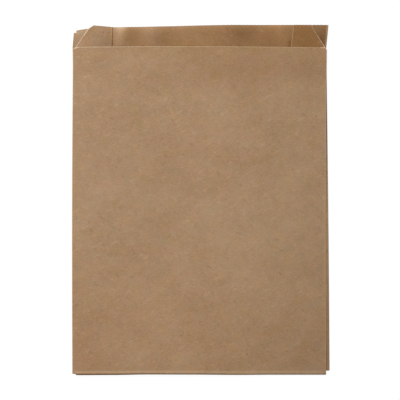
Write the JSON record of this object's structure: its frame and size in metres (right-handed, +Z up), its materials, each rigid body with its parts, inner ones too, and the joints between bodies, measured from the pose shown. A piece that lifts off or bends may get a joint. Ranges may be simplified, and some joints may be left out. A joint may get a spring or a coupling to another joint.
{
  "type": "flat paper bag",
  "caption": "Brown kraft paper bag with side gussets, folded flat, with a stepped mouth, a glued back seam and a glued bottom flap.",
  "frame": {"origin": "middle of the bag's width and length, on the underside of the back panel that it lies on", "axes": "+X across the bag, +Y along it towards the mouth, +Z up out of the front panel"},
  "size_m": [0.254, 0.3448, 0.0032],
  "materials": {
    "kraft": "matte"
  },
  "bodies": {
    "root": {"paper_bag": "kraft"}
  },
  "joints": []
}
